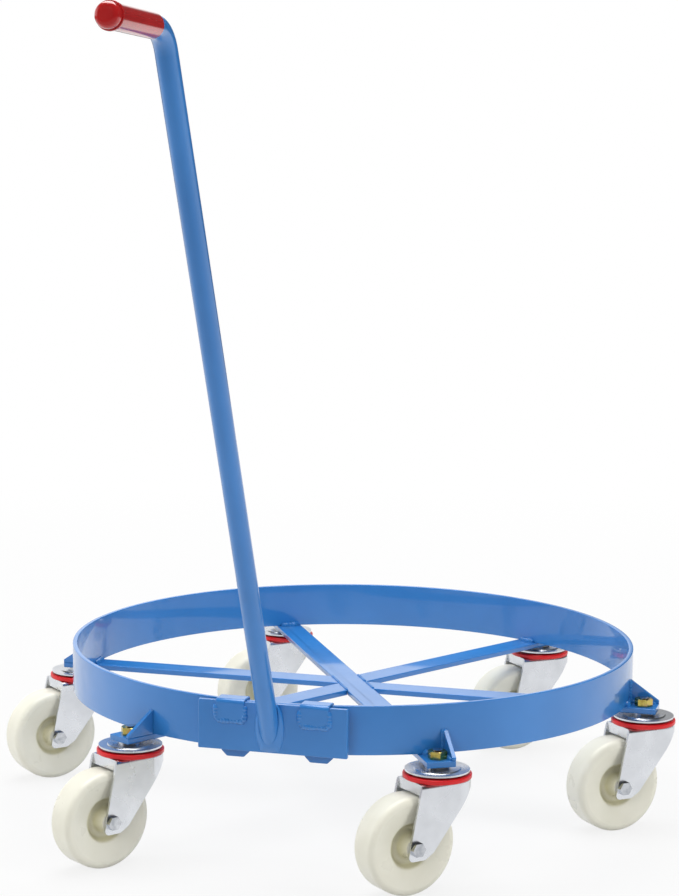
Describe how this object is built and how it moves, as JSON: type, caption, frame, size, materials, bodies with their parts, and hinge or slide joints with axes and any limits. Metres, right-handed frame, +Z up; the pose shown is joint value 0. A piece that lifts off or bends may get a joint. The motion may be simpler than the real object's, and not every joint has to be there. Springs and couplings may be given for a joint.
{
  "type": "drum trolley",
  "caption": "Drum trolley: a flat-bar ring on crossed arms, swivel casters standing round the outside of the ring, and a bent push handle that hooks over its edge.",
  "frame": {"origin": "on the floor, under the axis of the drum ring", "axes": "+Z up; the handle leans out over -Y, so the trolley is pulled towards -Y; +X is to the right of someone who faces it from the handle"},
  "size_m": [0.759, 1.0849, 0.848],
  "materials": {
    "blue_paint": "glossy powder coat",
    "zinc": "bright zinc plate",
    "bolt_zinc": "zinc plate",
    "yellow_zinc": "yellow passivated zinc plate",
    "seal_red": "moulded",
    "grip_red": "smooth moulded",
    "wheel_nylon": "smooth moulded nylon"
  },
  "bodies": {
    "frame": {"drum_ring": "blue_paint", "through_arm": "blue_paint", "right_half_arm": "blue_paint", "rear_right_half_arm": "blue_paint", "left_half_arm": "blue_paint", "front_left_half_arm": "blue_paint", "gusset_plates": "blue_paint", "swivel_head_1": "zinc", "swivel_head_2": "zinc", "swivel_head_3": "zinc", "swivel_head_4": "zinc", "swivel_head_5": "zinc", "swivel_head_6": "zinc", "king_pins": "bolt_zinc", "bearing_balls": "bolt_zinc", "mounting_bolts": "bolt_zinc", "mounting_nuts": "yellow_zinc"},
    "caster_1": {"fork_1": "zinc", "dust_seal_1": "seal_red", "axle_bolt_1": "bolt_zinc", "axle_sleeve_1": "bolt_zinc", "axle_nut_1": "bolt_zinc"},
    "rolling_wheel_1": {"wheel_1": "wheel_nylon"},
    "caster_2": {"fork_2": "zinc", "dust_seal_2": "seal_red", "axle_bolt_2": "bolt_zinc", "axle_sleeve_2": "bolt_zinc", "axle_nut_2": "bolt_zinc"},
    "rolling_wheel_2": {"wheel_2": "wheel_nylon"},
    "caster_3": {"fork_3": "zinc", "dust_seal_3": "seal_red", "axle_bolt_3": "bolt_zinc", "axle_sleeve_3": "bolt_zinc", "axle_nut_3": "bolt_zinc"},
    "rolling_wheel_3": {"wheel_3": "wheel_nylon"},
    "caster_4": {"fork_4": "zinc", "dust_seal_4": "seal_red", "axle_bolt_4": "bolt_zinc", "axle_sleeve_4": "bolt_zinc", "axle_nut_4": "bolt_zinc"},
    "rolling_wheel_4": {"wheel_4": "wheel_nylon"},
    "caster_5": {"fork_5": "zinc", "dust_seal_5": "seal_red", "axle_bolt_5": "bolt_zinc", "axle_sleeve_5": "bolt_zinc", "axle_nut_5": "bolt_zinc"},
    "rolling_wheel_5": {"wheel_5": "wheel_nylon"},
    "caster_6": {"fork_6": "zinc", "dust_seal_6": "seal_red", "axle_bolt_6": "bolt_zinc", "axle_sleeve_6": "bolt_zinc", "axle_nut_6": "bolt_zinc"},
    "rolling_wheel_6": {"wheel_6": "wheel_nylon"},
    "handle": {"handle_plate": "blue_paint", "left_hook_strap": "blue_paint", "right_hook_strap": "blue_paint", "push_tube": "blue_paint", "grip": "grip_red"}
  },
  "joints": [
    {"name": "swivel_1", "type": "hinge", "parent": "frame", "child": "caster_1", "pos_m": [0.327, -0.0075, 0.125], "axis": [0, 0, 1], "continuous": true},
    {"name": "roll_1", "type": "hinge", "parent": "caster_1", "child": "rolling_wheel_1", "pos_m": [0.29876, -0.03293, 0.05], "axis": [0.6691, -0.7431, 0], "continuous": true},
    {"name": "swivel_2", "type": "hinge", "parent": "frame", "child": "caster_2", "pos_m": [0.15701, 0.28694, 0.125], "axis": [0, 0, 1], "continuous": true},
    {"name": "roll_2", "type": "hinge", "parent": "caster_2", "child": "rolling_wheel_2", "pos_m": [0.1279, 0.26251, 0.05], "axis": [0.6428, -0.766, 0], "continuous": true},
    {"name": "swivel_3", "type": "hinge", "parent": "frame", "child": "caster_3", "pos_m": [-0.1635, 0.28319, 0.125], "axis": [0, 0, 1], "continuous": true},
    {"name": "roll_3", "type": "hinge", "parent": "caster_3", "child": "rolling_wheel_3", "pos_m": [-0.19037, 0.25632, 0.05], "axis": [0.7071, -0.7071, 0], "continuous": true},
    {"name": "swivel_4", "type": "hinge", "parent": "frame", "child": "caster_4", "pos_m": [-0.327, 0.0075, 0.125], "axis": [0, 0, 1], "continuous": true},
    {"name": "roll_4", "type": "hinge", "parent": "caster_4", "child": "rolling_wheel_4", "pos_m": [-0.3534, -0.01983, 0.05], "axis": [0.7193, -0.6947, 0], "continuous": true},
    {"name": "swivel_5", "type": "hinge", "parent": "frame", "child": "caster_5", "pos_m": [-0.15701, -0.28694, 0.125], "axis": [0, 0, 1], "continuous": true},
    {"name": "roll_5", "type": "hinge", "parent": "caster_5", "child": "rolling_wheel_5", "pos_m": [-0.1788, -0.31807, 0.05], "axis": [0.8192, -0.5736, 0], "continuous": true},
    {"name": "swivel_6", "type": "hinge", "parent": "frame", "child": "caster_6", "pos_m": [0.1635, -0.28319, 0.125], "axis": [0, 0, 1], "continuous": true},
    {"name": "roll_6", "type": "hinge", "parent": "caster_6", "child": "rolling_wheel_6", "pos_m": [0.13758, -0.31098, 0.05], "axis": [0.7314, -0.682, 0], "continuous": true},
    {"name": "handle_lift", "type": "slide", "parent": "frame", "child": "handle", "axis": [0, 0, 1], "range_m": [0, 0.1]}
  ]
}
